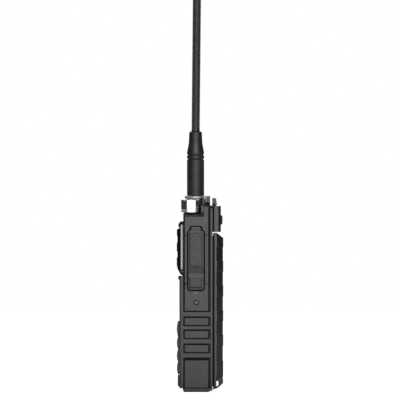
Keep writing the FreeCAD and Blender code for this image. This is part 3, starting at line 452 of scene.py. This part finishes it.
RECIPES = {
    # name: function, then its settings: colours, roughness and so on
    "case_black": (moulded, (0.002, 0.002, 0.0022), (0.0035, 0.0035, 0.0038), 0.29, 2600.0, 0.012),
    "pack_black": (moulded, (0.0012, 0.0012, 0.0014), (0.0025, 0.0025, 0.0027), 0.24, 2600.0, 0.012),
    "gloss_black": (gloss_moulding, (0.001, 0.001, 0.001), (0.002, 0.002, 0.002), 0.12),
    "key_grey": (moulded, (0.012, 0.012, 0.013), (0.018, 0.018, 0.020), 0.34, 3000.0, 0.01, 0.2),
    "silver": (moulded, (0.23, 0.23, 0.24), (0.28, 0.28, 0.29), 0.32, 3600.0, 0.008, 0.15),
    "chrome": (plated, (0.86, 0.86, 0.88), 0.12),
    "nickel": (plated, (0.30, 0.30, 0.31), 0.4),
    "rubber_black": (rubber, (0.003, 0.003, 0.0033), (0.005, 0.005, 0.0055), 0.38),
    "cover_rubber": (rubber, (0.002, 0.002, 0.0022), (0.003, 0.003, 0.0033), 0.31, 0.44, 0.0),
    "steel": (plated, (0.55, 0.55, 0.56), 0.28),
    "dark_steel": (plated, (0.09, 0.09, 0.095), 0.42),
    "gold": (plated, (0.80, 0.58, 0.24), 0.2),
    "chassis_black": (painted_casting, (0.004, 0.004, 0.004), (0.007, 0.007, 0.007), 0.5),
    "insert_black": (moulded, (0.006, 0.006, 0.006), (0.010, 0.010, 0.010), 0.5),
    "cell_wrap": (gloss_moulding, (0.20, 0.22, 0.26), (0.24, 0.26, 0.30), 0.3),
    "window": (clear_plate, (0.55, 0.57, 0.58), 0.04),
    "lamp": (clear_plate, (0.9, 0.95, 0.9), 0.25),
    "lcd": (lcd_panel,),
    "board": (circuit_board,),
    "legend_white": (moulded, (0.62, 0.62, 0.60), (0.72, 0.72, 0.70), 0.5),
}
MATERIALS = {name: make(name, *settings) for name, (make, *settings) in RECIPES.items()}

KEY_COUNT = 15
KEYS = ["key_%d" % number for number in range(1, KEY_COUNT + 1)]

NODE_MATERIALS = {
    "case_black": ["front_case"],
    "pack_black": ["battery_case", "battery_lid", "battery_latch", "clip_block", "torch_housing"],
    "gloss_black": ["speaker_grille", "ptt_bezel"],
    "key_grey": ["ptt_button", "side_key_upper", "side_key_lower"] + KEYS,
    "silver": ["speaker_bezel"],
    "chrome": ["volume_knob"],
    "nickel": ["antenna_collar"],
    "rubber_black": ["antenna_boot", "antenna_whip", "antenna_tip", "jack_cover_flap",
                     "jack_cover_anchor", "keypad_mat", "case_gasket"],
    "steel": ["chassis_screws", "latch_pin", "latch_spring", "antenna_core", "shield_cans",
              "usb_port", "knob_shaft", "knob_cap", "speaker_driver", "microphone"],
    "dark_steel": ["side_screws"],
    "gold": ["antenna_connector", "antenna_plug", "battery_contacts", "battery_terminals"],
    "chassis_black": ["rear_chassis"],
    "insert_black": ["jack_block", "volume_pot"],
    "cell_wrap": ["battery_cells"],
    "window": ["display_window", "torch_lens"],
    "lamp": ["status_led"],
    "lcd": ["lcd_module"],
    "board": ["main_board"],
}


def dress_nodes():
    """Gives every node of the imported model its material."""
    for name, members in NODE_MATERIALS.items():
        for member in members:
            slots = nodes[member].data.materials
            slots.clear()
            slots.append(MATERIALS[name])


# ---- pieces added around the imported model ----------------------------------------

def make_piece(name, points, faces, material, smooth=True):
    """Mesh object from points and faces, with its normals outwards."""
    mesh = bpy.data.meshes.new(name)
    mesh.from_pydata(points, [], faces)
    work = bmesh.new()
    work.from_mesh(mesh)
    bmesh.ops.recalc_face_normals(work, faces=work.faces)
    work.to_mesh(mesh)
    work.free()
    for face in mesh.polygons:
        face.use_smooth = smooth
    mesh.materials.append(MATERIALS[material])
    piece = bpy.data.objects.new(name, mesh)
    bpy.context.scene.collection.objects.link(piece)
    return piece


def smooth_step(value):
    """0 below 0, 1 above 1 and an S-curve between."""
    value = min(1.0, max(0.0, value))
    return value * value * (3 - 2 * value)


def ring_faces(rings, count):
    """Quads between neighbouring rings of the same number of points."""
    faces = []
    for ring in range(rings - 1):
        for i in range(count):
            j = (i + 1) % count
            low, high = ring * count, (ring + 1) * count
            faces.append((low + i, low + j, high + j, high + i))
    return faces


# millimetres, apart from the tilt and the counts
ANTENNA_X = -17.0
ANTENNA_Y = -3.3
WHIP_FOOT = 186.5           # heights of the whip's two ends
WHIP_TOP = 524.0
WHIP_TILT = math.radians(0.54)
WHIP_STRAIGHT = 150.0       # length of the lower stretch, which has one radius
WHIP_RADIUS = 3.13
WHIP_TAPER = 0.93           # radius lost over the rest
WHIP_PLAIN = (6.0, 8.0)     # distances from the foot over which the rib comes in
WHIP_PITCH = 1.8            # one turn of the rib
WHIP_GROOVE = 0.28          # depth between two turns
WHIP_CREST = 1.5            # power that makes the crests broader than the grooves
WHIP_RING = 0.3             # distance between rings of points
WHIP_SIDES = 24


def whip_radius(z):
    """Crest radius of the whip at a height, in mm."""
    up = z - WHIP_FOOT
    if up < WHIP_STRAIGHT:
        return WHIP_RADIUS
    span = WHIP_TOP - WHIP_FOOT - WHIP_STRAIGHT
    return WHIP_RADIUS - WHIP_TAPER * (up - WHIP_STRAIGHT) / span


def make_whip():
    """Rubber whip with a helical rib, leaning a little backwards."""
    points = []
    count = int((WHIP_TOP - WHIP_FOOT) / WHIP_RING)
    for ring in range(count + 1):
        up = (WHIP_TOP - WHIP_FOOT) * ring / count
        crest = whip_radius(WHIP_FOOT + up)
        ribbed = smooth_step((up - WHIP_PLAIN[0]) / (WHIP_PLAIN[1] - WHIP_PLAIN[0]))
        for side in range(WHIP_SIDES):
            angle = 2 * math.pi * side / WHIP_SIDES
            wave = 0.5 - 0.5 * math.cos(2 * math.pi * up / WHIP_PITCH - angle)
            radius = crest - WHIP_GROOVE * ribbed * wave ** WHIP_CREST
            across, along = radius * math.cos(angle), radius * math.sin(angle)
            x = ANTENNA_X + across
            y = ANTENNA_Y + along * math.cos(WHIP_TILT) + up * math.sin(WHIP_TILT)
            z = WHIP_FOOT + up * math.cos(WHIP_TILT) - along * math.sin(WHIP_TILT)
            points.append((x * MM, y * MM, z * MM))
    faces = ring_faces(count + 1, WHIP_SIDES)
    faces.append(tuple(range(WHIP_SIDES)))
    faces.append(tuple(range(count * WHIP_SIDES, (count + 1) * WHIP_SIDES)))
    whip = make_piece("whip_ribbed", points, faces, "rubber_black")
    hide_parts("antenna_whip")
    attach(whip, "antenna")


# millimetres
COVER_MIDDLE = -2.975       # Y of the cover's middle
COVER_HALF = 5.975
COVER_Z = (75.0, 118.9)
COVER_CORNER = 2.2
COVER_X = (27.07, 29.4)     # inner and outer face
COVER_EDGE = 0.55           # rounding of the outer edges
COVER_STEP = 0.25           # distance between rows of points
# distances in from a side edge of the columns of points
COVER_COLUMNS = (0, 0.06, 0.15, 0.3, 0.5, 0.8, 1.2, 1.6, 1.7, 1.8, 1.9, 2.0,
                 2.15, 2.35, 2.5, 2.65, 3.2, 4.0, 5.0)
COVER_CREASE = 35           # degrees above which an edge stays sharp
TAB_HALF = (4.2, 3.5)       # half width of the pull tab at its foot and its top
TAB_Z = (118.2, 121.9)
TAB_FACE_X = 28.9
TAB_CORNER = 1.2
# Y and Z spans of the raised panels, on the flap and on the anchor
PANELS = (((-7.6, 1.5), (92.9, 117.2)), ((-7.5, 1.4), (76.9, 84.3)))
PANEL_RISE = 0.55
PANEL_SLOPE = 0.3           # width of their sloping edges
NECK_Z = (85.6, 91.9)       # the thinner stretch, where the real cover flexes
NECK_X = 29.3
NECK_SLOPE = 0.5
FLEX_GROOVES = (88.2, 89.8, 91.3)
FLEX_DEPTH = 0.3
FLEX_HALF = 0.4             # half width of a groove


def round_profile(inside, radius):
    """Height lost at an edge rounded by the radius, this far inside it."""
    if inside >= radius:
        return 0.0
    return radius - math.sqrt(max(0.0, radius ** 2 - (radius - max(inside, 0.0)) ** 2))


def rounded_half(z, low, high, half, corner):
    """Half width at a height of a rectangle with rounded corners, or 0 outside it."""
    if not low <= z <= high:
        return 0.0
    return half - round_profile(min(z - low, high - z), corner)


def tab_half(z):
    """Half width of the pull tab at a height."""
    if z < TAB_Z[0] or z > TAB_Z[1]:
        return 0.0
    along = (z - TAB_Z[0]) / (TAB_Z[1] - TAB_Z[0])
    half = TAB_HALF[0] + (TAB_HALF[1] - TAB_HALF[0]) * along
    return half - round_profile(TAB_Z[1] - z, TAB_CORNER)


def cover_face(side, z):
    """X of the cover's outer face at a place across it and a height."""
    body = rounded_half(z, *COVER_Z, COVER_HALF, COVER_CORNER)
    inside = min(body - abs(side), z - COVER_Z[0], COVER_Z[1] - z)
    face = COVER_X[0]
    if inside >= 0:
        neck = smooth_step((z - NECK_Z[0]) / NECK_SLOPE) * smooth_step((NECK_Z[1] - z) / NECK_SLOPE)
        face = COVER_X[1] - (COVER_X[1] - NECK_X) * neck - round_profile(inside, COVER_EDGE)
        for groove in FLEX_GROOVES:
            face -= FLEX_DEPTH * max(0.0, 1 - abs(z - groove) / FLEX_HALF)
    inside_tab = min(tab_half(z) - abs(side), TAB_Z[1] - z)
    if inside_tab >= 0:
        face = max(face, TAB_FACE_X - round_profile(inside_tab, COVER_EDGE))
    y = COVER_MIDDLE + side
    for span_y, span_z in PANELS:
        within = min(y - span_y[0], span_y[1] - y, z - span_z[0], span_z[1] - z)
        face += PANEL_RISE * smooth_step(within / PANEL_SLOPE)
    return face


def make_jack_cover():
    """One-piece rubber cover: anchor, thin neck where the real cover flexes, flap and pull tab."""
    across = [1 - column / COVER_HALF for column in COVER_COLUMNS] + [0.0]
    across = [-a for a in across] + across[-2::-1]
    count = int(round((TAB_Z[1] - COVER_Z[0]) / COVER_STEP))
    heights = [COVER_Z[0] + (TAB_Z[1] - COVER_Z[0]) * i / count for i in range(count + 1)]
    columns = len(across)
    outer, inner = [], []
    for z in heights:
        half = max(rounded_half(z, *COVER_Z, COVER_HALF, COVER_CORNER), tab_half(z))
        for fraction in across:
            side = half * fraction
            y = COVER_MIDDLE + side
            outer.append((cover_face(side, z) * MM, y * MM, z * MM))
            inner.append((COVER_X[0] * MM, y * MM, z * MM))
    base = len(outer)
    faces = []
    for row in range(count):
        for column in range(columns - 1):
            corner = row * columns + column
            quad = (corner, corner + 1, corner + columns + 1, corner + columns)
            faces.append(quad)
            faces.append(tuple(base + point for point in quad[::-1]))
    # the rim runs along the bottom row, up one side, back along the top row and down the other side
    rim = list(range(columns)) + [row * columns + columns - 1 for row in range(1, count + 1)]
    rim += list(range(count * columns + columns - 2, count * columns - 1, -1))
    rim += [row * columns for row in range(count - 1, 0, -1)]
    for point, following in zip(rim, rim[1:] + rim[:1]):
        faces.append((point, following, base + following, base + point))
    cover = make_piece("jack_cover", outer + inner, faces, "cover_rubber")
    sharpen(cover, COVER_CREASE)
    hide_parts("jack_cover_flap", "jack_cover_anchor")
    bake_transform(cover)


# millimetres
SEAL_X = (24.1, 25.2)       # inner and outer edge of a side strip
SEAL_Y = (9.2, 9.58)
SEAL_Z = (4.2, 114.3)
SEAL_FOOT = 1.1             # height of the strip across the foot
BOX_FACES = ((0, 1, 3, 2), (4, 6, 7, 5), (0, 4, 5, 1), (2, 3, 7, 6), (0, 2, 6, 4), (1, 5, 7, 3))


def make_seal():
    """Foam strips on the housing's back, up both sides and across the foot of the battery's seam."""
    spans = [((side * SEAL_X[0], side * SEAL_X[1]), SEAL_Z) for side in (-1, 1)]
    spans.append(((-SEAL_X[0], SEAL_X[0]), (SEAL_Z[0], SEAL_Z[0] + SEAL_FOOT)))
    points, faces = [], []
    for span_x, span_z in spans:
        start = len(points)
        points += [(x * MM, y * MM, z * MM) for x in span_x for y in SEAL_Y for z in span_z]
        for corners in BOX_FACES:
            faces.append(tuple(start + corner for corner in corners))
    seal = make_piece("battery_seal", points, faces, "rubber_black", smooth=False)
    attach(seal, "root")


LEGENDS = {4: "1", 5: "2", 6: "3", 7: "A", 8: "4", 9: "5", 10: "6", 11: "B",
           12: "7", 13: "8", 14: "9", 15: "0"}
LEGEND_SIZE = 4.6 * MM
LEGEND_LIFT = 0.03 * MM     # how far the print stands off the key
LEGEND_CUT = 0.6 * MM       # distance between the cuts that let it follow the crown
LEGEND_CUTS = 5             # how many on either side of the middle
BAR_HALF = 1.5              # half length of the bars on key 2, in millimetres
BARS = ((0.7, 1.2), (-0.25, 0.25), (-1.2, -0.7))
ICONS = {
    # corners of simple marks, in millimetres from the key's middle
    1: [[(-1.7, -1.1), (1.7, -1.1), (0, 1.5)]],
    2: [[(-BAR_HALF, low), (BAR_HALF, low), (BAR_HALF, high), (-BAR_HALF, high)] for low, high in BARS],
    3: [[(-1.7, 1.1), (0, -1.5), (1.7, 1.1)]],
}


def text_shape(text):
    """Points and faces of a flat text, centred, as a bmesh in the X-Z plane."""
    curve = bpy.data.curves.new("legend_" + text, "FONT")
    curve.body = text
    curve.size = LEGEND_SIZE
    curve.align_x = "CENTER"
    curve.align_y = "CENTER"
    curve.resolution_u = 4
    holder = bpy.data.objects.new("legend_holder", curve)
    mesh = bpy.data.meshes.new_from_object(holder)
    work = bmesh.new()
    work.from_mesh(mesh)
    bmesh.ops.remove_doubles(work, verts=work.verts, dist=1e-6)
    bmesh.ops.transform(work, matrix=Matrix.Rotation(math.pi / 2, 4, "X"), verts=work.verts)
    bpy.data.objects.remove(holder)
    bpy.data.curves.remove(curve)
    bpy.data.meshes.remove(mesh)
    return work


def icon_shape(number):
    """Flat marks of one of the upper keys, as a bmesh in the X-Z plane."""
    work = bmesh.new()
    for corners in ICONS[number]:
        work.faces.new([work.verts.new((x * MM, 0, z * MM)) for x, z in corners])
    return work


def make_legend(number):
    """Printed mark on a key, laid on the key's crown."""
    key = nodes["key_%d" % number]
    low, high = (Vector(corner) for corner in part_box("key_%d" % number))
    middle = (low + high) / 2
    work = text_shape(LEGENDS[number]) if number in LEGENDS else icon_shape(number)
    for cut in range(-LEGEND_CUTS, LEGEND_CUTS + 1):
        parts = work.verts[:] + work.edges[:] + work.faces[:]
        height = (0, 0, cut * LEGEND_CUT)
        bmesh.ops.bisect_plane(work, geom=parts, plane_co=height, plane_no=(0, 0, 1))
    for vert in work.verts:
        start = Vector((middle.x + vert.co.x, low.y - MM, middle.z + vert.co.z))
        hit, place, _, _ = key.ray_cast(start, Vector((0, 1, 0)))
        vert.co = place - Vector((0, LEGEND_LIFT, 0)) if hit else start
    mesh = bpy.data.meshes.new("legend_%d" % number)
    work.to_mesh(mesh)
    work.free()
    mesh.materials.append(MATERIALS["legend_white"])
    legend = bpy.data.objects.new("legend_%d" % number, mesh)
    bpy.context.scene.collection.objects.link(legend)
    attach(legend, "body_key_%d" % number)


def sharpen(piece, degrees):
    """Marks edges sharper than the angle, so smooth shading stops at them."""
    work = bmesh.new()
    work.from_mesh(piece.data)
    limit = math.radians(degrees)
    for edge in work.edges:
        if len(edge.link_faces) == 2 and edge.calc_face_angle(0.0) > limit:
            edge.smooth = False
    work.to_mesh(piece.data)
    work.free()


# ---- put together ----------------------------------------------------------------

make_studio()
dress_nodes()
make_whip()
make_jack_cover()
make_seal()
for key_number in range(1, KEY_COUNT + 1):
    make_legend(key_number)
